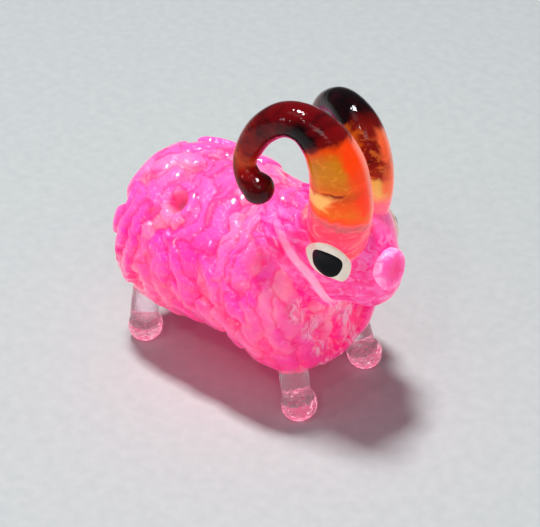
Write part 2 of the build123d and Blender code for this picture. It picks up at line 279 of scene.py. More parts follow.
# The fleece: its outline and how the trails of glass lie on it
fleece = {
    "length": 24.2, "radius": 9.1, "height": 11.8, "setback": 2.5, "fullness": 5.0,
    "bed": -0.6, "bedWave": 0.15,       # height of the melted bed under the trails, against the outline
    "sink": -2.05,          # inner side, just under the skin of the clear core
    "melt": 0.24,           # how far two trails run into each other
    "depth": 0.5,           # how round a trail is, as a share of its half width
    "round": 2.2,           # power of a trail's cross section
    "fall": 1.5,            # slope outside a trail
    "lean": 0.24,           # how much a trail may lie higher on one side
    "wander": 0.26,         # how far the edge of a trail strays from an even width
    "slant": 0.0055,        # how far the shown trails lie across the body's rings, in stations a degree
    "creaseWidth": 0.12,
    "settle": 0.1,          # how far the trails below sink before the shown ones are laid
    "underSeed": 3, "shownSeed": 5, "slantSeed": 8, "threadSeed": 9,
    "columns": 480, "rearRows": 200, "frontRows": 134, "innerRows": 14,
    "crowding": 0.93,       # power that crowds the rows towards the body's ends
    "parting": 0.34, "bellyParting": 0.68,      # station where rear and front meet, above and below
    "belly": (112, 140, 220, 248),      # bearings between which the parting goes to the belly's and back
    "seamDip": 0.08, "seamWidth": 0.2,
}
# Trails scattered under the shown ones, and threads over them: half lengths, half widths and crests
underTrails = {"count": 175, "seed": 11, "reaches": (0.5, 2.2), "widths": (1.15, 1.85),
               "crests": (-0.4, 0.14)}
threads = {"count": 46, "seed": 23, "reaches": (0.8, 1.9), "widths": (0.34, 0.58), "crests": (-0.1, 0.3)}


def makeOutline(length, radius, fullness):
    # Superellipse |s|^n + q^n = 1 from the rump's middle to the chest's, with s = -cos^(2/n) and
    # q = sin^(2/n), listed against the distance along it.
    t = np.linspace(0, np.pi, 20001)
    s = -np.sign(np.cos(t)) * np.abs(np.cos(t)) ** (2 / fullness)
    q = np.abs(np.sin(t)) ** (2 / fullness)
    x, r = s * length / 2, q * radius
    run = np.concatenate([[0], np.cumsum(np.hypot(np.diff(x), np.diff(r)))])
    nx, nr = np.sign(s) * np.abs(s) ** (fullness - 1) / (length / 2), q ** (fullness - 1) / radius
    size = np.hypot(nx, nr)
    return {"run": run, "s": s, "x": x, "r": r, "nx": nx / size, "nr": nr / size, "total": run[-1]}


outline = makeOutline(fleece["length"], fleece["radius"], fleece["fullness"])


def bodySkin(run, bearing):
    # Place and outward direction on the body's outline: the profile turned about the body's axis. Bearing
    # is in degrees from the top towards the animal's right.
    turn = np.radians(bearing)
    spoke = np.stack([np.zeros_like(turn), -np.sin(turn), np.cos(turn)], -1)
    ahead = np.array([1.0, 0, 0])
    x, r, nx, nr = (np.interp(run, outline["run"], outline[k])[..., None] for k in ("x", "r", "nx", "nr"))
    centre = np.array([-fleece["setback"], 0, fleece["height"]])
    return centre + x * ahead + r * spoke, nx * ahead + nr * spoke


def sideRun(station):
    # Distance along the outline of a station on the side.
    return np.interp(station, outline["s"], outline["run"])


def onSide(places):
    # Side places, station and bearing, as points of the outline.
    places = np.asarray(places, float)
    return bodySkin(sideRun(places[:, 0]), places[:, 1])[0]


def onChest(places):
    # Chest places, across and up from the body's axis in mm, as points of the outline.
    places = np.asarray(places, float)
    ring = np.hypot(places[:, 0], places[:, 1])
    front = slice(len(outline["run"]) // 2, None)
    order = np.argsort(outline["r"][front])
    run = np.interp(ring, outline["r"][front][order], outline["run"][front][order])
    return bodySkin(run, np.degrees(np.arctan2(-places[:, 0], places[:, 1])))[0]


# Trails that the light picks out: places, half width, height of the crest
sideTrails = [
    ([(-0.93, 8), (-0.92, 24), (-0.90, 36)], 1.3, 0.7),
    ([(-0.86, -16), (-0.84, -2), (-0.86, 10)], 1.25, 0.6),
    ([(-0.70, -30), (-0.58, -36), (-0.45, -35)], 1.25, 0.7),
    ([(-0.40, -30), (-0.25, -37), (-0.14, -30)], 1.3, 0.72),
    ([(-0.04, -34), (0.06, -24), (0.10, -12)], 1.2, 0.35),
    ([(-0.70, -6), (-0.62, -16), (-0.48, -20)], 1.3, 0.4),
    ([(-0.30, -14), (-0.18, -18), (-0.06, -14)], 1.3, 0.35),
    ([(-0.74, 20), (-0.66, 12), (-0.54, 8)], 1.2, 0.45),
    ([(-0.95, 62), (-0.965, 74), (-0.95, 84)], 1.15, 0.85),
    ([(-0.88, 40), (-0.86, 56), (-0.88, 70)], 0.85, 0.4),
    ([(-0.80, 42), (-0.78, 62), (-0.80, 84), (-0.78, 104)], 0.8, 0.42),
    ([(-0.68, 48), (-0.66, 66), (-0.68, 90), (-0.70, 112)], 0.85, 0.36),
    ([(-0.58, 60), (-0.55, 76), (-0.57, 92)], 0.75, 0.25),
    ([(-0.90, 92), (-0.87, 106), (-0.84, 118)], 0.95, 0.35),
    ([(-0.10, 8), (-0.02, 30), (-0.06, 50)], 2.3, 0.3),
    ([(-0.20, 62), (-0.08, 68), (0.04, 66)], 2.2, 0.25),
    ([(-0.60, 22), (-0.62, 34), (-0.58, 46)], 1.0, 0.36),
    ([(-0.24, 18), (-0.10, 28), (-0.06, 42), (-0.18, 56), (-0.32, 60)], 0.8, 0.35),
    ([(-0.40, 70), (-0.36, 76), (-0.38, 82)], 1.5, 0.36),
    ([(-0.50, 86), (-0.44, 96), (-0.48, 108)], 1.3, 0.3),
    ([(-0.34, 92), (-0.28, 102), (-0.30, 116)], 1.35, 0.3),
    ([(-0.26, 60), (-0.16, 74), (-0.02, 84), (0.07, 97)], 0.95, 0.42),
    ([(-0.16, 92), (-0.02, 100), (0.10, 113)], 1.0, 0.34),
    ([(-0.24, 106), (-0.10, 114), (-0.02, 127)], 1.15, 0.34),
    ([(0.08, -6), (0.14, 10), (0.10, 26), (0.18, 40)], 0.95, 0.32),
    ([(-0.02, -4), (0.04, 10), (0.00, 22)], 1.4, 0.18),
    ([(0.20, 30), (0.27, 38), (0.21, 46)], 0.65, 0.4),
    ([(0.24, 48), (0.31, 58), (0.28, 68)], 0.7, 0.45),
    ([(0.28, 8), (0.37, 14), (0.45, 22)], 0.75, 0.4),
    ([(0.35, -4), (0.34, 30), (0.37, 56), (0.33, 84)], 0.7, 0.3),
    ([(0.10, 64), (0.19, 70), (0.27, 84)], 1.0, 0.34),
    ([(0.12, 98), (0.20, 108), (0.16, 120)], 1.4, 0.36),
    ([(0.46, 46), (0.52, 52), (0.56, 60)], 2.2, 0.22),
    ([(0.62, 30), (0.68, 44), (0.70, 58), (0.66, 70)], 0.8, 0.26),
    ([(0.34, 76), (0.44, 84), (0.54, 87)], 0.95, 0.32),
    ([(0.58, 78), (0.66, 88), (0.62, 100)], 1.25, 0.28),
    ([(0.28, 95), (0.39, 100), (0.46, 115)], 1.1, 0.38),
    ([(0.54, 106), (0.62, 114), (0.58, 124)], 1.4, 0.42),
    ([(0.76, 60), (0.74, 82), (0.78, 104)], 1.5, 0.22),
    ([(0.80, 112), (0.84, 124), (0.82, 138)], 1.3, 0.32),
    ([(0.94, 70), (0.955, 90), (0.94, 110)], 1.3, 0.25),
    ([(0.70, 118), (0.72, 130), (0.66, 142)], 1.3, 0.35),
    ([(0.86, 50), (0.88, 66), (0.86, 84)], 1.2, 0.15),
]
# The smooth band from under the chin down the chest's left, and trails beside it: across, up
chestTrails = [
    ([(2.5, 5.2), (4.6, 2.0), (5.4, -2.0), (4.2, -5.4)], 1.4, 0.5),
    ([(-1.2, 2.4), (0.6, -0.8), (0.2, -4.0)], 1.3, 0.1),
    ([(-4.0, 1.4), (-3.0, -1.6), (-3.4, -4.6)], 1.2, 0.15),
    ([(-6.2, 0.0), (-5.6, -3.0), (-4.2, -5.6)], 1.2, 0.25),
    ([(7.0, 3.0), (7.6, 0.0), (6.8, -3.4)], 1.1, 0.2),
    ([(-1.6, -6.6), (0.8, -7.2), (3.0, -6.4)], 1.1, 0.25),
]
# A trail laid in a ring round a hole
curl = {"station": -0.36, "bearing": 37.0, "ring": 1.78, "thread": 0.8, "crest": 0.36, "oval": 1.2,
        "melt": 0.3, "hole": 1.12, "rimInside": 0.45, "rimOutside": 0.1, "holeDepth": 1.55}
# Fine rings behind the head, about a point beside them
swirl = {"station": 0.51, "bearing": 52.0, "reach": 2.3, "fade": 0.6, "spacing": 0.7, "depth": 0.035,
         "beside": 3.2, "towards": (-0.5, 0.5, 0.7)}
# Where the fleece is thin, low on the right flank, so that the belly's line draws in behind the shoulder
waist = {"station": 0.1, "reach": 0.36, "bearing": 138.0, "spread": 30.0, "thin": 0.55, "drop": 1.25}
# Clear glass that sparkles on the chest: across, up and reach
clearSpots = [(-6.4, 2.2, 1.5), (-5.2, -0.2, 1.6), (-3.2, 3.0, 1.5), (-1.4, 1.2, 1.7), (-4.0, -3.4, 1.1),
              (0.4, -1.8, 1.5), (1.4, 1.6, 1.4), (-2.2, -6.6, 1.2), (1.6, -5.2, 1.3)]


def scatterTrails(count, seed, reaches, widths, crests):
    # Short bent trails all over the body. The places follow a golden-angle spiral over equal areas of the
    # skin, and each heading follows two slow waves, so that neighbours lie side by side. Half lengths, half
    # widths and crests are drawn evenly from their ranges.
    goldenAngle = 137.508
    rng = np.random.default_rng(seed)
    number = np.arange(count)
    bearing = (number * goldenAngle + rng.uniform(-9, 9, count)) % 360
    area = np.cumsum(outline["r"] * np.gradient(outline["run"]))
    run = np.interp((number + 0.5) / count, area / area[-1], outline["run"])
    turn = np.radians(bearing)
    heading = 0.9 * np.sin(run * 0.42 + turn * 2) + 0.8 * np.cos(turn * 3 - run * 0.3)
    heading += np.pi / 2 + rng.normal(0, 0.7, count)
    reach = rng.uniform(*reaches, count)
    bend = rng.uniform(-0.5, 0.5, count)
    width = rng.uniform(*widths, count)
    crest = rng.uniform(*crests, count)
    middle, normal = bodySkin(run, bearing)
    ahead = unit(np.array([1.0, 0, 0]) - normal * normal[:, :1] + 1e-6)
    way = ahead * np.cos(heading)[:, None] + np.cross(normal, ahead) * np.sin(heading)[:, None]
    side = np.cross(normal, way)
    t = np.array([-1.0, -0.35, 0.35, 1.0])[:, None]
    return [(middle[k] + reach[k] * (t * way[k] + bend[k] * (t * t - 0.4) * side[k]), width[k], crest[k])
            for k in range(count)]


def layTrails(skin, normal, height, tint, crease, trails, seed):
    # Dabs of glass laid one over another. At a distance d and a sideways offset s from its line, a dab of
    # half width w stands at crest + lean s - depth w (1 - sqrt(1 - (d / w)^round)), and falls away outside w.
    # It joins what lies there by a smooth maximum. The topmost dab gives the tint, and a crease is where the
    # dab and what lies there are equally high: exp(-((a - b) / width)^2).
    rng = np.random.default_rng(seed)
    for path, width, crest in trails:
        line, _ = alongPath(path, 12)
        lean, shade = rng.uniform(-1, 1) * fleece["lean"], rng.uniform(0, 1)
        middle = line.mean(0)
        reach = np.linalg.norm(line - middle, axis=1).max() + 2.0 * width
        near = np.linalg.norm(skin - middle, axis=-1) < reach
        spot, out = skin[near], normal[near]
        wave = np.sin(spot[:, [1, 2, 0]] * 2.3 + [0, 1, 2]) + 0.4 * np.sin(spot[:, [2, 0, 1]] * 5.1)
        spot = spot + fleece["wander"] * wave
        distance, offset = np.full(len(spot), 1e9), np.zeros(len(spot))
        for start, stop in zip(line[:-1], line[1:]):
            way = stop - start
            share = np.clip(((spot - start) @ way) / (way @ way), 0, 1)
            gap = spot - start - share[:, None] * way
            far = np.linalg.norm(gap, axis=1)
            offset = np.where(far < distance, dot(gap, unit(np.cross(out, way))), offset)
            distance = np.minimum(distance, far)
        inside = np.clip(distance / width, 0, 1)
        dab = (crest + lean * offset - fleece["depth"] * width * (1 - np.sqrt(1 - inside ** fleece["round"]))
               - fleece["fall"] * np.maximum(distance - width, 0))
        old = height[near]
        height[near] = meltOver(old, dab, fleece["melt"])
        line = np.exp(-((old - dab) / fleece["creaseWidth"]) ** 2)
        crease[near] = np.where(dab > old, line, np.maximum(crease[near], line))
        tint[near] += (shade - tint[near]) * ramp(-0.05, 0.1, dab - old)


def fleeceFields(run, bearing):
    # Height of the fleece over the outline at each point, with its tint, its creases and how clear it is.
    skin, normal = bodySkin(run, bearing)
    slow = np.sin(skin[..., 0] * 0.55 + 0.8 * np.sin(skin[..., 1] * 0.5)) * np.cos(skin[..., 2] * 0.5 + 1.0)
    height = fleece["bed"] + fleece["bedWave"] * slow
    tint, crease = np.full(height.shape, 0.5), np.zeros(height.shape)
    layTrails(skin, normal, height, tint, crease, scatterTrails(**underTrails), fleece["underSeed"])
    height -= fleece["settle"]
    slants = np.random.default_rng(fleece["slantSeed"]).uniform(-1, 1, len(sideTrails)) * fleece["slant"]
    shown = []
    for (places, width, crest), slant in zip(sideTrails, slants):
        places = [(station + slant * (b - places[1][1]), b) for station, b in places]
        shown.append((onSide(places), width, crest))
    shown += [(onChest(places), width, crest) for places, width, crest in chestTrails]
    layTrails(skin, normal, height, tint, crease, shown, fleece["shownSeed"])
    layTrails(skin, normal, height, tint, crease, scatterTrails(**threads), fleece["threadSeed"])
    # the swirl: even rings, bent a little, that fade outwards
    middle = onSide([(swirl["station"], swirl["bearing"])])[0]
    heart = middle + np.array(swirl["towards"]) * swirl["beside"]
    away, rings = np.linalg.norm(skin - middle, axis=-1), np.linalg.norm(skin - heart, axis=-1)
    turned = 1 - ramp(swirl["reach"] * swirl["fade"], swirl["reach"], away)
    rings += 0.16 * np.sin(skin[..., 0] * 1.7) + 0.1 * np.sin(rings * 3.1)
    height -= swirl["depth"] * turned * (1 + np.cos(rings * 2 * np.pi / swirl["spacing"]))
    # the curl: a ring laid round a hole that goes down to the clear core
    middle = onSide([(curl["station"], curl["bearing"])])[0]
    gap = skin - middle
    away = np.sqrt((gap[..., 0] * curl["oval"]) ** 2 + gap[..., 1] ** 2 + gap[..., 2] ** 2)
    rise = np.sqrt(np.maximum(curl["thread"] ** 2 - (away - curl["ring"]) ** 2, 0))
    ring = np.where(np.abs(away - curl["ring"]) < curl["thread"], curl["crest"] - curl["thread"] + rise, -9.0)
    height = meltOver(height, ring, curl["melt"])
    hole = 1 - ramp(curl["hole"] - curl["rimInside"], curl["hole"] + curl["rimOutside"], away)
    height = height * (1 - hole) - curl["holeDepth"] * hole
    # the waist: the fleece keeps a share of its relief and sinks
    relief = height
    station = np.interp(run, outline["run"], outline["s"])
    lengthwise = ((station - waist["station"]) / waist["reach"]) ** 2
    thin = np.exp(-lengthwise - ((bearing - waist["bearing"]) / waist["spread"]) ** 2)
    height = height * (1 - waist["thin"] * thin) - waist["drop"] * thin
    # glass without colour: sharp little facets stand for the bubbles and folds in it
    clear = np.zeros(height.shape)
    for across, up, reach in clearSpots:
        spot = onChest([(across, up)])[0]
        clear = np.maximum(clear, 1 - ramp(reach * 0.5, reach, np.linalg.norm(skin - spot, axis=-1)))
    fields = {"crest": relief, "tint": tint, "crease": crease, "bare": hole, "clear": clear}
    return skin, normal, height, fields


def partingRun(bearing):
    # Where the rear and the front fleece meet: one station above, a further one under the belly, waved.
    below = ramp(*fleece["belly"][:2], bearing) * (1 - ramp(*fleece["belly"][2:], bearing))
    station = fleece["parting"] + (fleece["bellyParting"] - fleece["parting"]) * below
    turn = np.radians(bearing)
    return sideRun(station + 0.018 * np.sin(5 * turn) + 0.012 * np.sin(11 * turn + 1.0))


def makeFleece(name, end):
    # One half of the fleece: an outer skin with the trails on it, from the parting to the body's end, and a
    # plain inner skin that closes it on the clear core.
    bearing = np.linspace(0, 360, fleece["columns"], endpoint=False)
    parting = partingRun(bearing)[None]
    rows = fleece["rearRows"] if end < 0 else fleece["frontRows"]
    share = np.linspace(0, 1, rows + 1)[1:, None] ** fleece["crowding"]
    pole = 0.0 if end < 0 else outline["total"]
    run = pole + (parting - pole) * share
    skin, normal, height, fields = fleeceFields(run, np.broadcast_to(bearing, run.shape))
    height = height - fleece["seamDip"] * np.exp(-((run - parting) / fleece["seamWidth"]) ** 2)
    outer = skin + normal * height[..., None]
    innerRun = pole + (parting - pole) * np.linspace(1, 0, fleece["innerRows"] + 1)[:-1, None]
    innerSkin, innerNormal = bodySkin(innerRun, np.broadcast_to(bearing, innerRun.shape))
    inner = innerSkin + innerNormal * fleece["sink"]
    grid = np.concatenate([outer, inner])
    poleSkin, poleNormal = bodySkin(np.array([pole]), np.array([0.0]))
    outerPole = poleSkin[0] + poleNormal[0] * height[0].mean()
    innerPole = poleSkin[0] + poleNormal[0] * fleece["sink"]
    order = slice(None, None, -1 if end > 0 else 1)

    def spread(values):
        rows = np.concatenate([values, np.zeros(inner.shape[:2])])
        return np.concatenate([rows[:, order].ravel(), [values[0].mean(), 0.0]])

    return makeSkin(name, grid[:, order], outerPole, innerPole, {key: spread(fields[key]) for key in fields})


def woolFinish():
    # Hot pink with painted light: painted shade makes it redder low down and in the creases, painted light
    # from above makes it paler up on the back, a painted sky reflection makes the crests more mauve, and the
    # emission is a painted glow.
    finish = Finish("pinkWoolGlass", Subsurface_Weight=0.4, Subsurface_Radius=(1.0, 0.22, 0.5),
                    Subsurface_Scale=1.1 * mm, IOR=1.36, Coat_Weight=0.9, Coat_Roughness=0.012,
                    Emission_Strength=0.5)
    where = finish.place()
    crest, tint = finish.field("crest"), finish.field("tint")
    flow = finish.noise(where, 0.3, 3.0, 0.8)
    base = finish.scale((tint * 0.8 + flow * 1.5 - 0.65).clamp(), [
        (0.0, 255, 28, 142), (0.3, 255, 50, 162), (0.55, 255, 76, 158), (0.75, 255, 106, 158),
        (1.0, 255, 136, 166)])
    streak = finish.noise(finish.place((1, 1, 0.5), turn=(0.3, 0.4, 0)), 0.9, 3.0, 2.6)
    colour = finish.mix(streak.step(0.55, 0.72) * 0.45, base, rgb(255, 158, 206))
    # painted reflection: the crests are tinted mauve, as if they mirrored the pale sky
    colour = finish.mix(crest.step(0.0, 0.5) * 0.36, colour, rgb(255, 84, 206))
    height = finish.node("ShaderNodeSeparateXYZ", {}, {0: where}, 2)
    # painted light: paler high up on the back, where light from above falls on it
    colour = finish.mix(height.step(15.0, 21.0) * 0.25, colour, rgb(255, 150, 196))
    # painted shade: deeper, redder pink low down, where the body is in its own shade, a little less on the
    # crests
    low = (1.0 - height.step(5.0, 16.0)) * (1.0 - crest.step(0.0, 0.5) * 0.25)
    colour = finish.mix(low * 0.9, colour, rgb(255, 14, 116))
    # painted shade: darker red in the creases between trails
    colour = finish.mix(finish.field("crease") * 0.62, colour, rgb(248, 4, 100))
    clear = (finish.field("clear") * streak.step(0.36, 0.56)).clamp()
    colour = finish.mix(clear * 0.6, colour, rgb(255, 196, 222))
    # the hole shows the clear core, greyish, and is painted darker for the shade down in the pit
    colour = finish.mix(finish.field("bare"), colour, rgb(176, 74, 104))
    ripple = finish.noise(where, 0.9, 2.0, 0.6)
    fine = finish.noise(where, 2.6, 2.0, 0.4)
    facet = finish.cells(where, 2.4)
    lumpy = finish.bump(facet * clear, 0.5, finish.bump(fine, 0.12, finish.bump(ripple, 0.3)))
    # painted glow: the emission, a deeper pink than the base, stands in for light passing through the glass
    paintedGlow = finish.mix(0.4, colour, rgb(255, 16, 128))
    return finish.join(Base_Color=colour, Emission_Color=paintedGlow, Roughness=0.04 + fine * 0.08, Normal=lumpy)


woolGlass = woolFinish()
rearFleece = makeFleece("rearFleece", -1)
dress(rearFleece, woolGlass, "wool_glass", "back_wool", "right_flank_wool", "left_flank_wool", "belly_wool",
      "rump_wool")
frontFleece = makeFleece("frontFleece", 1)
dress(frontFleece, woolGlass, "wool_glass", "right_shoulder_wool", "left_shoulder_wool",
      "right_chest_wool", "left_chest_wool")
print("fleece made:", len(rearFleece.data.polygons), "and", len(frontFleece.data.polygons), "faces")


# The head: eggs melted together, with a brow under each horn. Each end of a brow or a foot has its radius last
head = {
    "skull": (9.1, 0.0, 18.3), "skullHalf": (5.2, 5.4, 5.25),
    "snout": (12.7, 0.0, 16.75), "snoutHalf": (2.8, 3.1, 3.3),
    "rightBrow": [(10.3, -2.1, 18.6, 2.3), (10.6, -2.4, 20.5, 2.35)],
    "leftBrow": [(9.4, 1.7, 18.6, 2.0), (9.95, 2.3, 20.6, 2.15)],
    "rightHornFoot": [(10.45, -2.5, 20.6, 2.65), (10.85, -2.9, 23.0, 2.92)],
    "leftHornFoot": [(9.6, 2.1, 20.8, 2.15), (10.0, 2.4, 22.4, 2.37)],
    "melt": 0.9, "footMelt": 0.6, "middle": (10.0, -0.4, 18.6), "reach": 12.0, "rows": 180, "columns": 240,
}


def capsule(places, ends):
    # Distance from the line between two ends, less a radius that grows along it.
    low, high = (np.array(end, float) for end in ends)
    way = high[:3] - low[:3]
    share = np.clip(((places - low[:3]) @ way) / (way @ way), 0, 1)
    distance = np.linalg.norm(places - low[:3] - share[..., None] * way, axis=-1)
    return distance - (low[3] + (high[3] - low[3]) * share)


def headDepth(places):
    # Signed distance from the head, near enough. An egg is |p / half| - 1 times the least half.
    def egg(word):
        half = np.array(head[word + "Half"])
        return (np.linalg.norm((places - np.array(head[word])) / half, axis=-1) - 1) * half.min()

    depth = meltTogether(egg("skull"), egg("snout"), head["melt"])
    for word in ("rightBrow", "leftBrow"):
        depth = meltTogether(depth, capsule(places, head[word]), head["melt"])
    return depth


def faceDepth(places):
    # Signed distance from the head with the foot of each horn, for what lies over both.
    depth = headDepth(places)
    for word in ("rightHornFoot", "leftHornFoot"):
        depth = meltTogether(depth, capsule(places, head[word]), head["footMelt"])
    return depth


def castOn(depth, starts, ways, reach):
    # Where each ray first lies on the surface: halving the reach 40 times, given that it starts inside.
    low = np.zeros(starts.shape[:-1])
    high = low + reach
    for _ in range(40):
        half = (low + high) / 2
        inside = depth(starts + ways * half[..., None]) < 0
        low, high = np.where(inside, half, low), np.where(inside, high, half)
    return starts + ways * low[..., None]


def makeHead():
    # Rays from the middle of the head, on a globe whose poles are the nose and the nape.
    tilt = np.linspace(0, np.pi, head["rows"] + 2)[1:-1, None]
    turn = wholeTurn(head["columns"])[None]
    ways = np.stack([np.cos(tilt) + 0 * turn, np.sin(tilt) * np.cos(turn), np.sin(tilt) * np.sin(turn)], -1)
    poleWays = np.array([[1.0, 0, 0], [-1.0, 0, 0]])
    grid, poles = (castOn(headDepth, np.broadcast_to(head["middle"], way.shape), way, head["reach"])
                   for way in (ways, poleWays))
    points, quads, tris = latheGrid(grid, poles[0], poles[1])
    beside, height = ramp(-0.6, 0.9, points[:, 1]), points[:, 2]
    fields = {"rightRoot": ramp(21.4, 22.4, height) * (1 - beside),
              "leftRoot": ramp(20.6, 21.8, height) * beside}
    return makePiece("headGlass", points, quads, tris, fields)


def headFinish():
    # Swirled pink, warmer where the horns rise from it. The neck folds wear it too, with a pale stripe.
    finish = Finish("streakedPinkGlass", Subsurface_Weight=0.35, Subsurface_Radius=(1.0, 0.22, 0.5),
                    Subsurface_Scale=1.0 * mm, IOR=1.36, Coat_Weight=0.5, Coat_Roughness=0.02,
                    Emission_Strength=0.5)
    where = finish.place(turn=(0.3, -0.5, 0.4))
    swirl = finish.noise(finish.place((0.5, 1.0, 1.3), turn=(0.2, 0.6, 0.3)), 0.55, 3.0, 1.6)
    thin = finish.noise(finish.place((0.45, 1.0, 1.3), turn=(0.2, 0.6, 0.3)), 0.9, 1.0, 1.2)
    colour = finish.scale(swirl, [(0.25, 244, 20, 110), (0.42, 255, 44, 136), (0.55, 255, 70, 156),
                                  (0.68, 255, 104, 182), (0.8, 255, 60, 146)])
    colour = finish.mix(thin.step(0.56, 0.66) * 0.45, colour, rgb(255, 140, 198))
    warm = finish.scale(thin, [(0.35, 255, 60, 70), (0.55, 255, 110, 110), (0.75, 255, 150, 130)])
    colour = finish.mix(finish.field("rightRoot") * 0.8, colour, warm)
    colour = finish.mix(finish.field("pale") * 0.7, colour, rgb(246, 186, 220))
    colour = finish.mix(finish.field("leftRoot") * 0.6, colour, rgb(255, 110, 170))
    ripple = finish.noise(where, 0.7, 2.0, 0.8)
    # painted glow: the colour is also given out as light, in place of light passing through the pink glass
    return finish.join(Base_Color=colour, Emission_Color=colour, Roughness=0.05 + thin * 0.08,
                       Normal=finish.bump(ripple, 0.12))


headGlass = headFinish()
headPiece = makeHead()
dress(headPiece, headGlass, "head_glass", "head")


nose = {
    "forward": 15.5, "height": 18.15, "tilt": 8.0,
    "radius": 2.1, "thickness": 2.5, "roundness": 3.2, "dish": 0.12, "dishReach": 1.1,
    "waves": {3: 0.02, 5: 0.012},       # how many waves the rim has, and how high they are for its radius
    "rings": 60, "sides": 120,
}


def makeNose():
    # Button: rings whose radius and depth follow a superellipse, turned about the button's own axis, with a
    # shallow dish in the front and a rim that isn't quite round.
    t = np.linspace(0, np.pi, nose["rings"] + 2)[1:-1]
    power = 2 / nose["roundness"]
    out = nose["radius"] * np.sin(t) ** power
    deep = nose["thickness"] / 2 * (np.sign(np.cos(t)) * np.abs(np.cos(t)) ** power - 1)
    deep = deep - nose["dish"] * np.exp(-((out / nose["dishReach"]) ** 2)) * (np.cos(t) > 0)
    turn = wholeTurn(nose["sides"])
    out = out[:, None] * (1 + nose["waves"][3] * np.sin(3 * turn + 0.5) + nose["waves"][5] * np.sin(5 * turn))
    tilt = np.radians(nose["tilt"])
    aim, up = np.array([np.cos(tilt), 0, np.sin(tilt)]), np.array([-np.sin(tilt), 0, np.cos(tilt)])
    spokes = np.cos(turn)[None, :, None] * np.array([0, 1.0, 0]) + np.sin(turn)[None, :, None] * up
    centre = np.array([nose["forward"], 0, nose["height"]])
    grid = centre + deep[:, None, None] * aim + out[..., None] * spokes
    points, quads, tris = latheGrid(grid, centre - aim * nose["dish"], centre - aim * nose["thickness"])
    away = np.linalg.norm(points - centre - np.outer((points - centre) @ aim, aim), axis=1) / nose["radius"]
    return makePiece("noseButton", points, quads, tris, {"out": away})


def noseFinish():
    # Clouded pink, paler towards the rim.
    finish = Finish("palePinkGlass", Subsurface_Weight=0.4, Subsurface_Radius=(1.0, 0.25, 0.5),
                    Subsurface_Scale=1.0 * mm, IOR=1.3, Coat_Weight=0.4, Coat_Roughness=0.015,
                    Emission_Strength=0.54)
    where = finish.place()
    cloud = finish.noise(where, 0.8, 3.0, 1.4)
    colour = finish.scale((cloud * 0.6 + finish.field("out") * 0.5).clamp(), [
        (0.25, 250, 30, 118), (0.48, 255, 62, 150), (0.7, 255, 96, 176), (0.86, 255, 160, 210)])
    ripple = finish.noise(where, 1.3, 2.0, 0.5)
    # painted glow: the colour is also given out as light, to brighten the nose
    return finish.join(Base_Color=colour, Emission_Color=colour, Roughness=0.04 + cloud * 0.1,
                       Normal=finish.bump(ripple, 0.14))


nosePiece = makeNose()
dress(nosePiece, noseFinish(), "nose_glass", "nose")
print("head and nose made")


eyes = {
    "centre": (11.0, -4.6, 19.62), "out": (0.484, -0.831, 0.276), "along": (0.84, 0.353, -0.411),
    "dropped": (0.52, -0.62, 0.588),            # the way that a dot was dropped onto the face
    "seat": 0.1, "under": 0.5, "backOff": 2.6, "reach": 8.0, "leftShift": (-0.8, 0.1, -0.9),
    # the edge of each dot, along and across the eye
    "cream": [(-2.2, .82), (-1.05, 1.48), (.6, 1.52), (1.77, 1.08), (2.25, .1), (2.1, -.83), (1.14, -1.1),
              (-.15, -1.29), (-1.63, -.89), (-2.43, -.23)],
    "black": [(-1.76, .68), (.49, 1.08), (1.35, .64), (1.42, -.54), (.6, -1.2), (-.57, -1.06), (-1.5, -.42)],
    "creamRise": 0.3, "blackRise": 0.44, "rows": 24, "edgeRows": 10, "columns": 140,
}


def makeDot(name, outlinePlaces, rise, side):
    # Glass dot on the head: rings of its outline at shares of the way out, dropped on the head, and raised by
    # rise times (1 - share^6)^(1/2). A second skin below closes it.
    loop = np.array(outlinePlaces)
    closed = np.concatenate([loop[-2:], loop, loop[:3]])
    curve, place = alongPath(np.column_stack([closed, np.zeros(len(closed))]), 4000)
    curve = curve[(place >= 2) & (place < 2 + len(loop)), :2]
    edge = curve[np.linspace(0, len(curve), eyes["columns"], endpoint=False).astype(int)][::-1]
    brink = 1 - 0.1 * (1 - np.sin(np.linspace(0.1, 1, eyes["edgeRows"]) * np.pi / 2))
    share = np.concatenate([np.linspace(0.06, 0.9, eyes["rows"]), brink])
    lift = rise * np.sqrt(np.maximum(1 - share**6, 0))
    mirrored = np.array([1, -1 if side > 0 else 1, 1])
    out = unit(np.array(eyes["out"]))
    along = unit(np.array(eyes["along"]) - out * np.dot(out, eyes["along"]))
    across = np.cross(out, along) * mirrored
    out, along, centre = out * mirrored, along * mirrored, np.array(eyes["centre"]) * mirrored
    centre = centre + (np.array(eyes["leftShift"]) if side > 0 else 0)
    way = unit(np.array(eyes["dropped"])) * mirrored

    def seat(spots):
        return faceDepth(spots) - eyes["seat"]

    def drop(places):
        starts = centre - way * eyes["backOff"] + places[..., :1] * along + places[..., 1:] * across
        return castOn(seat, starts, np.broadcast_to(way, starts.shape), eyes["reach"])

    top = drop(share[:, None, None] * edge) + out * lift[:, None, None]
    low = drop(share[::-4, None, None] * edge) - out * eyes["under"]
    middle = drop(np.zeros((1, 2)))[0]
    grid = np.concatenate([top, low])[:, ::-1 if side > 0 else 1]
    return makeSkin(name, grid, middle + out * rise, middle - out * eyes["under"])


def creamFinish():
    finish = Finish("creamGlass", IOR=1.5, Coat_Weight=0.3, Coat_Roughness=0.03, Subsurface_Weight=0.1,
                    Subsurface_Radius=(1.0, 0.7, 0.5), Subsurface_Scale=0.4 * mm, Emission_Strength=0.28)
    cloud = finish.noise(finish.place(), 1.1, 3.0, 0.5)
    colour = finish.scale(cloud, [(0.3, 238, 218, 200), (0.55, 248, 232, 216), (0.8, 252, 240, 228)])
    # painted glow: emission brightens the cream
    return finish.join(Base_Color=colour, Emission_Color=colour, Roughness=0.1 + cloud * 0.15,
                       Normal=finish.bump(cloud, 0.03))


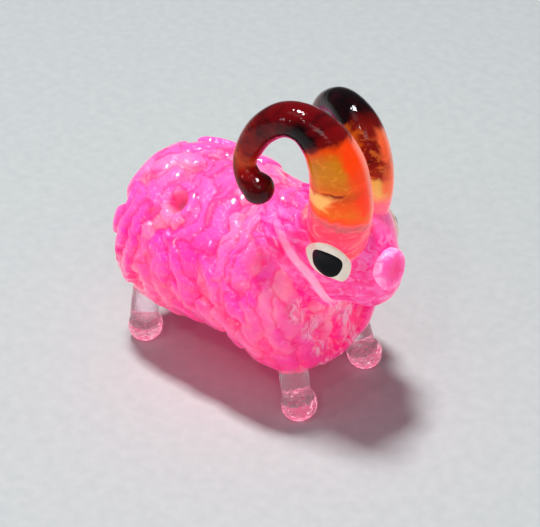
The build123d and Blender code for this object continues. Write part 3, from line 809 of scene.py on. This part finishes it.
def blackFinish():
    finish = Finish("blackGlass", IOR=1.2)
    cloud = finish.noise(finish.place(), 1.6, 2.0)
    colour = finish.scale(cloud, [(0.3, 2, 6, 9), (0.8, 6, 12, 16)])
    return finish.join(Base_Color=colour, Roughness=0.12 + cloud * 0.12, Normal=finish.bump(cloud, 0.02))


creamGlass, blackGlass = creamFinish(), blackFinish()
for side, word in ((-1, "right"), (1, "left")):
    white = makeDot(word + "EyeWhite", eyes["cream"], eyes["creamRise"], side)
    dress(white, creamGlass, "eye_cream", word + "_eye_white")
    pupil = makeDot(word + "EyePupil", eyes["black"], eyes["blackRise"], side)
    dress(pupil, blackGlass, "eye_black", word + "_eye_pupil")
print("eyes made")


# The horns: places along each with the diameter there
rightHorn = {
    "path": [(10.1, -2.0, 18.6, 4.2), (10.45, -2.5, 20.6, 5.3), (10.85, -2.9, 23.0, 5.85),
             (11.2, -3.15, 25.5, 5.9), (11.2, -3.4, 28.0, 5.5), (10.9, -3.7, 30.0, 5.1),
             (9.9, -4.1, 32.0, 4.4), (8.2, -4.7, 33.4, 3.6), (6.2, -5.3, 33.4, 3.2), (4.3, -5.9, 31.9, 2.85),
             (3.15, -6.4, 29.8, 2.5), (2.9, -6.8, 28.2, 2.2), (3.6, -7.0, 27.0, 2.5),
             (4.7, -7.05, 26.4, 3.05)],
    "split": 5.0, "rings": 260, "sides": 72,
}
leftHorn = {
    "path": [(9.3, 1.6, 19.1, 3.2), (9.6, 2.1, 20.8, 4.3), (9.9, 2.3, 22.4, 4.75), (10.1, 2.3, 24.3, 4.9),
             (10.0, 2.55, 26.1, 4.6), (9.45, 2.8, 28.0, 4.25), (8.5, 3.15, 29.45, 3.85),
             (6.9, 3.65, 30.3, 3.5), (5.1, 4.35, 30.3, 3.1), (3.3, 5.0, 29.3, 2.6), (2.1, 5.6, 27.7, 2.3),
             (2.0, 6.1, 26.5, 2.2), (2.6, 6.25, 25.8, 2.25), (3.6, 6.3, 25.3, 2.4)],
    "split": 5.0, "rings": 230, "sides": 64,
}


def makeHorn(word, horn):
    # Both pieces of a horn: a round section carried along its path, parted across at the split. Each point
    # has its place on the path, and how far to the side and to the front of the section it lies, -1 to 1.
    places, share = alongPath(horn["path"], horn["rings"])
    radii = places[:, 3] / 2
    cut = int(np.searchsorted(share, horn["split"]))
    made = []
    around = wholeTurn(horn["sides"])
    for name, part, capShare in (("HornBase", slice(0, cut + 1), 0.4), ("HornCurl", slice(cut, None), 1.0)):
        grid, first, last = rodGrid(places[part, :3], radii[part], np.array([0, 1.0, 0]), horn["sides"],
                                    capShare=capShare)
        caps = (len(grid) - len(radii[part])) // 2
        at = np.pad(share[part], caps, "edge")
        fields = {}
        for key, values in (("reach", at[:, None]), ("sideways", np.cos(around)), ("ahead", np.sin(around))):
            values = np.broadcast_to(values, grid.shape[:2])
            fields[key] = np.concatenate([values.ravel(), [values[0].mean(), values[-1].mean()]])
        made.append(makeSkin(word + name, grid, first, last, fields))
    return made


def hornFinish(name, stops, drawn, edge, dark, pool, crack):
    # Colour by how far along the horn a point is, from its first place to its last, pushed by noise.
    # Between two places the edge and a pool on the other flank have their own colours, and the inner side of
    # the bend is painted near-black as shade under the arch. The edge and the pool end at a share of the way
    # across. A crack has its place and its half width.
    finish = Finish(name, IOR=1.28, Transmission_Weight=0.28, Coat_Weight=0.12, Coat_Roughness=0.015,
                    Emission_Strength=0.3, Subsurface_Weight=0.15, Subsurface_Radius=(1.0, 0.3, 0.15),
                    Subsurface_Scale=1.5 * mm)
    where = finish.place()
    drift = finish.noise(where, 0.45, 3.0, 1.0) - 0.5
    across = finish.field("ahead") * 0.77 + finish.field("sideways") * 0.64
    reach = finish.field("reach") + drift * drawn + across * 0.22

    def zone(low, high, rise, fall):
        return reach.step(low, low + rise) * (1.0 - reach.step(high - fall, high))

    last = stops[-1][0]
    colour = finish.scale((reach * (1 / last)).clamp(), [(place / last, *tint) for place, *tint in stops])
    wisp = finish.noise(finish.place((1, 1, 2.2)), 0.6, 3.0, 1.8)
    amberWisp = wisp.step(0.52, 0.7) * zone(2.9, 6.0, 0.5, 0.5)
    colour = finish.mix(amberWisp * 0.4, colour, rgb(255, 140, 50), "SCREEN")
    swirl = finish.noise(finish.place((1, 1, 1.8), turn=(0.3, 0.2, 0)), 0.4, 2.0, 2.2)
    root = 1.0 - reach.step(2.6, 3.0)
    colour = finish.mix(swirl.step(0.5, 0.62) * root * 0.6, colour, rgb(255, 150, 144))
    colour = finish.mix(swirl.step(0.44, 0.36) * root * 0.5, colour, rgb(255, 36, 84))
    smoke = finish.noise(where, 0.5, 3.0, 1.4)
    colour = finish.mix(smoke.step(0.46, 0.64) * reach.step(6.0, 6.6) * 0.6, colour, rgb(40, 3, 8))
    at, half, tint = crack
    split = (1.0 - ((reach - at) * (1.0 / half)) ** 2.0).clamp()
    split = split * (across - drift * 2.0).step(0.45, 0.1) * (across + drift).step(-0.7, -0.3)
    colour = finish.mix(split * 0.85, colour, tint)
    low, high, tint, side = pool
    pale = zone(low, high, 0.25, 0.3) * (across + drift * 2.0).step(side + 0.25, side - 0.25)
    colour = finish.mix(pale * 0.9, colour, tint)
    low, high, tint, side = edge
    flank = zone(low, high, 0.3, 0.3) * (across + drift * 1.2).step(side - 0.25, side + 0.25)
    colour = finish.mix(flank * 0.85, colour, tint)
    # painted shade: near-black on the inner side of the bend, under the arch, where shade falls
    low, high, tint = dark
    inner = zone(low, high, 0.25, 0.8) * (drift * 1.5 - finish.field("ahead")).step(-0.75, -0.2)
    colour = finish.mix(inner * 0.95, colour, tint)
    # painted light: a pale rim on the far side across, low on the horn, stands in for light coming through the
    # thin edge
    rim = across.step(0.82, 0.98) * (1.0 - reach.step(5.7, 6.1))
    colour = finish.mix(rim * 0.6, colour, rgb(255, 172, 150))
    # painted glow: the colour is also given out as light
    return finish.join(Base_Color=colour, Emission_Color=colour, Roughness=0.03 + wisp * 0.05,
                       Normal=finish.bump(wisp, 0.06))


rightHornGlass = hornFinish("amberToCrimsonGlass", stops=[
    (0.0, 255, 84, 150), (1.0, 255, 116, 140), (1.35, 255, 90, 116), (1.6, 250, 36, 84),
    (1.8, 255, 72, 126), (2.6, 255, 92, 128), (2.8, 200, 106, 116), (2.95, 255, 108, 104),
    (3.05, 255, 84, 20), (3.25, 232, 120, 20), (3.7, 226, 100, 12), (3.95, 196, 84, 12),
    (4.3, 222, 112, 16), (4.9, 218, 136, 22), (5.4, 208, 130, 26), (5.85, 232, 72, 10),
    (6.05, 98, 5, 11), (7.4, 108, 6, 12), (8.6, 98, 5, 10), (9.8, 146, 15, 14),
    # the orange stop at 10.5 is painted light: glints of orange in the dark curl
    (10.5, 196, 70, 30), (11.1, 140, 12, 12), (12.0, 110, 5, 9), (13.0, 62, 2, 6)],
    drawn=0.5, edge=(3.1, 6.0, rgb(255, 62, 12), 0.35), dark=(6.05, 7.8, rgb(10, 2, 5)),
    pool=(3.2, 4.1, rgb(250, 226, 120), -0.35), crack=(4.1, 0.1, rgb(84, 26, 6)))
leftHornGlass = hornFinish("darkAmberGlass", stops=[
    (0.0, 255, 84, 160), (1.5, 255, 110, 160), (2.7, 255, 112, 150), (3.0, 255, 150, 130),
    (3.2, 240, 214, 110), (3.7, 226, 190, 80), (3.9, 130, 26, 16), (5.8, 120, 18, 14),
    (6.3, 96, 10, 10), (6.7, 16, 3, 6), (8.5, 12, 3, 6), (9.3, 96, 26, 30),
    (13.0, 84, 8, 12)],
    drawn=0.6, edge=(2.9, 6.0, rgb(255, 112, 64), 0.62), dark=(6.2, 8.0, rgb(10, 2, 5)),
    pool=(3.9, 6.5, rgb(206, 96, 24), -0.3), crack=(4.6, 0.06, rgb(70, 14, 8)))
for word, horn, glass in (("right", rightHorn, rightHornGlass), ("left", leftHorn, leftHornGlass)):
    base, tip = makeHorn(word, horn)
    dress(base, glass, "horn_amber", word + "_horn_base")
    dress(tip, glass, "horn_dark", word + "_horn_curl")
print("horns made")


legs = {
    "front": (8.1, 5.3), "rear": (-12.3, 5.8), "topHeight": 9.0, "rodRadius": 1.5, "rodSides": 64,
    "thinFoot": 0.96, "swell": 0.05,            # shares of the rod's radius at its foot, and more at its top
    "lean": {"front": 1.7, "rear": -0.6}, "drawIn": 0.8, "inFoot": 0.2,
    "footRadius": 1.8, "flat": 0.15, "footStep": 0.3, "footMelt": 0.12, "footRings": 64, "footSides": 96,
}


def makeLeg(name, end, side):
    # Rod from inside the foot to inside the body: a round section that is a little fuller at the top.
    forward, spread = legs[end]
    low = np.array([forward, side * spread, legs["footRadius"] + legs["inFoot"]])
    top = np.array([forward - legs["lean"][end], side * (spread - legs["drawIn"]), legs["topHeight"]])
    share = np.linspace(0, 1, 40)
    places = low + (top - low) * share[:, None]
    radii = legs["rodRadius"] * (legs["thinFoot"] + legs["swell"] * share + 0.012 * np.sin(share * 9 + side))
    return makeSkin(name, *rodGrid(places, radii, np.array([0, 1.0, 0]), legs["rodSides"], capShare=0.3))


def makeFoot(name, end, side):
    # Ball melted flat underneath: a globe that a smooth maximum keeps above the floor.
    forward, spread = legs[end]
    radius = legs["footRadius"]
    tilt = np.linspace(0, np.pi, legs["footRings"] + 2)[1:-1, None]
    turn = wholeTurn(legs["footSides"])[None]
    ball = np.stack([np.sin(tilt) * np.cos(turn), np.sin(tilt) * np.sin(turn), np.cos(tilt) + 0 * turn], -1)
    ball = ball * radius * (1 + 0.02 * np.sin(2 * turn + side)[..., None] * np.sin(tilt)[..., None])
    centre = np.array([forward + legs["footStep"], side * spread, radius - legs["flat"]])
    grid = centre + ball
    grid[..., 2] = meltOver(grid[..., 2], 0.0, legs["footMelt"])
    return makeSkin(name, grid, centre + [0, 0, radius], centre * [1, 1, 0])


def legFinish():
    # Clear glass drawn lengthwise, a little pink.
    finish = Finish("clearRodGlass", IOR=1.5, Transmission_Weight=0.94, Emission_Strength=0.03)
    where = finish.place((1, 1, 0.25))
    draw = finish.noise(where, 2.2, 3.0, 0.3)
    colour = finish.scale(draw, [(0.3, 246, 224, 236), (0.6, 255, 240, 248), (0.8, 250, 212, 230)])
    # a faint painted glow: the colour is also given out as light
    return finish.join(Base_Color=colour, Emission_Color=colour, Roughness=0.04 + draw * 0.14,
                       Normal=finish.bump(draw, 0.22))


def footFinish():
    # Clear glass, pinker and facetted low down, with a painted glow there: pink emission with white spots
    # from the facet cells stands in for light and glints caught in the glass.
    finish = Finish("clearBallGlass", IOR=1.5, Transmission_Weight=0.9, Emission_Strength=0.42)
    where = finish.place()
    cloud = finish.noise(where, 1.0, 3.0, 0.8)
    colour = finish.scale(cloud, [(0.3, 255, 214, 224), (0.55, 252, 240, 244), (0.8, 255, 200, 208)])
    low = 1.0 - (finish.node("ShaderNodeSeparateXYZ", {}, {0: where}, 2) + cloud * 0.8).step(1.1, 2.0)
    colour = finish.mix(low * 0.8, colour, rgb(255, 150, 176))
    chip = finish.cells(where, 1.7)
    # painted glints: white at the middle of each facet cell, fading to pink
    shine = finish.scale(chip, [(0.14, 255, 246, 250), (0.3, 255, 176, 204), (0.55, 250, 110, 160)])
    # the painted glow and glints are given out only low down
    paintedGlow = finish.mix(low, (0.0, 0.0, 0.0), shine)
    return finish.join(Base_Color=colour, Emission_Color=paintedGlow, Roughness=0.02 + cloud * 0.05,
                       Normal=finish.bump(chip, 0.2))


legGlass, footGlass = legFinish(), footFinish()
for end in ("front", "rear"):
    for side, word in ((-1, "right"), (1, "left")):
        title = end + word.capitalize()
        dress(makeLeg(title + "Leg", end, side), legGlass, "leg_glass", end + "_" + word + "_leg")
        dress(makeFoot(title + "Foot", end, side), footGlass, "foot_glass", end + "_" + word + "_foot")
print("legs and feet made")


folds = {
    "ridges": [
        [(2.5, -2.3, 20.6), (4.2, -3.6, 20.1), (7.3, -5.1, 19.1), (9.5, -5.3, 17.9), (10.3, -4.3, 15.6),
         (9.6, -1.5, 12.5)],
        [(2.6, -1.4, 20.8), (4.6, -2.8, 20.3), (7.4, -4.7, 20.4), (9.1, -5.2, 19.7), (10.6, -5.0, 17.9)],
        [(1.9, -3.3, 20.3), (3.3, -4.1, 19.8), (6.0, -5.5, 18.7), (8.1, -5.5, 17.4), (9.4, -4.4, 15.2),
         (9.6, -2.7, 13.0)]],
    "radii": [0.72, 0.62, 0.66], "heart": (5.5, 0.0, 15.0), "flat": 0.8, "rings": 90, "sides": 40,
}


def makeFolds(name, side):
    # Three pulled ridges: round sections carried along their paths, thin at both ends. The first has a pale
    # stripe on its outer side.
    parts, shift = [], 0
    for path, radius in zip(folds["ridges"], folds["radii"]):
        places, _ = alongPath(path, folds["rings"])
        places = places * np.array([1, -side, 1])
        share = np.linspace(0, 1, len(places))
        radii = radius * (0.35 + 0.65 * np.sin(np.pi * np.clip(share * 0.96 + 0.02, 0, 1)) ** 0.6)
        outward = unit(places - np.array(folds["heart"]))
        grid, first, last = rodGrid(places, radii, outward, folds["sides"], flat=folds["flat"])
        points, quads, tris = latheGrid(grid, first, last)
        along = np.linspace(0, 1, len(grid))[:, None]
        fade = ramp(0.12, 0.45, along) * (1 - ramp(0.72, 0.9, along)) * (path is folds["ridges"][0])
        stripe = fade * ramp(0.74, 0.96, np.cos(wholeTurn(folds["sides"])))
        parts.append((points, quads.reshape(-1, 4) + shift, tris + shift, np.append(stripe, [0.0, 0.0])))
        shift += len(points)
    points, quads, tris, pale = (np.concatenate([part[k] for part in parts]) for k in range(4))
    return makePiece(name, points, quads, tris, {"pale": pale})


for side, word in ((-1, "right"), (1, "left")):
    dress(makeFolds(word + "NeckFolds", side), headGlass, "wool_glass", word + "_neck_folds")


tail = {"root": (-13.6, 0.0, 13.6), "tip": (-14.4, 0.0, 12.4), "bow": 0.35, "radius": 1.1, "taper": 0.25,
        "rings": 24, "sides": 48}


def makeTail():
    # Short rod from the root to the tip, bowed backwards by a half sine.
    share = np.linspace(0, 1, tail["rings"])[:, None]
    root, tip = np.array(tail["root"]), np.array(tail["tip"])
    places = root + (tip - root) * share + np.array([-tail["bow"], 0, 0]) * np.sin(np.pi * share)
    radii = tail["radius"] * (1 - tail["taper"] * share[:, 0])
    return makeSkin("tailDab", *rodGrid(places, radii, np.array([0, 1.0, 0]), tail["sides"]))


dress(makeTail(), woolGlass, "wool_glass", "tail")


def coreFinish():
    finish = Finish("clearCoreGlass", IOR=1.5, Transmission_Weight=0.6)
    cloud = finish.noise(finish.place(), 0.6, 3.0, 0.5)
    colour = finish.scale(cloud, [(0.3, 214, 150, 178), (0.7, 236, 196, 212)])
    return finish.join(Base_Color=colour, Roughness=0.08 + cloud * 0.1, Normal=finish.bump(cloud, 0.1))


dress(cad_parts["body_core"], coreFinish(), "clear_core")
print("folds, tail and core made")


stage = {
    "floorSize": 3.0, "sky": 0.12, "skyColour": (0.86, 0.93, 1.0, 1.0),
    "aim": (0, 0, 0.012),       # where the lamps point, in metres
    # place, width and height in metres, power in watts and colour
    "lamps": {
        "keyLight": ((-0.072, -0.007, 0.51), (0.064, 0.088), 2.45, (1.0, 1.0, 1.0)),
        "panelLight": ((-0.06, -0.14, 0.34), (0.15, 0.12), 0.05, (0.95, 0.92, 1.0)),
        "fillLight": ((0.16, -0.14, 0.22), (0.1, 0.06), 0.06, (1.0, 1.0, 1.0)),
        "glintLight": ((0.06, -0.22, 0.3), (0.018, 0.026), 0.08, (1.0, 1.0, 1.0)),
        "sideGlintLight": ((-0.08, -0.28, 0.13), (0.014, 0.03), 0.05, (0.9, 0.94, 1.0)),
    },
    "camera": (85.753, -101.972, 108.650), "lookAt": (-0.051, 0.286, 11.665),
    "sensor": 36.0, "focalLength": 110.0, "clipStart": 0.005, "clipEnd": 5.0,
}


def makeFloor():
    # One square face, centred under the animal.
    mesh = bpy.data.meshes.new("floor")
    half = stage["floorSize"] / 2
    corners = [(-half, -half, 0), (half, -half, 0), (half, half, 0), (-half, half, 0)]
    mesh.from_pydata(corners, [], [(0, 1, 2, 3)])
    floor = bpy.data.objects.new("floor", mesh)
    bpy.context.scene.collection.objects.link(floor)
    finish = Finish("paleCard")
    grain = finish.noise(finish.place(), 0.8, 4.0)
    floor.data.materials.append(finish.join(
        Base_Color=finish.scale(grain, [(0.3, 190, 196, 196), (0.7, 198, 203, 203)]),
        Roughness=0.75 + grain * 0.1, Normal=finish.bump(grain, 0.02)))


def putInScene(name, data, place, aim):
    # A lamp or a camera at its place, pointing at the aim.
    thing = bpy.data.objects.new(name, data)
    bpy.context.scene.collection.objects.link(thing)
    thing.location = place
    thing.rotation_euler = (Vector(aim) - Vector(place)).to_track_quat("-Z", "Y").to_euler()
    return thing


makeFloor()
world = bpy.data.worlds.new("studio")
bpy.context.scene.world = world
world.use_nodes = True
background = world.node_tree.nodes["Background"].inputs
background["Color"].default_value = stage["skyColour"]
background["Strength"].default_value = stage["sky"]
for name, (place, size, power, colour) in stage["lamps"].items():
    lamp = bpy.data.lights.new(name, "AREA")
    lamp.shape = "RECTANGLE"
    lamp.size, lamp.size_y = size
    lamp.energy, lamp.color = power, colour
    putInScene(name, lamp, place, stage["aim"])

lens = bpy.data.cameras.new("camera")
lens.sensor_width, lens.lens = stage["sensor"], stage["focalLength"]
lens.clip_start, lens.clip_end = stage["clipStart"], stage["clipEnd"]
camera = putInScene("camera", lens, Vector(stage["camera"]) * mm, Vector(stage["lookAt"]) * mm)
bpy.context.scene.camera = camera
bpy.context.scene.view_settings.view_transform = "Standard"
print("stage and camera made")
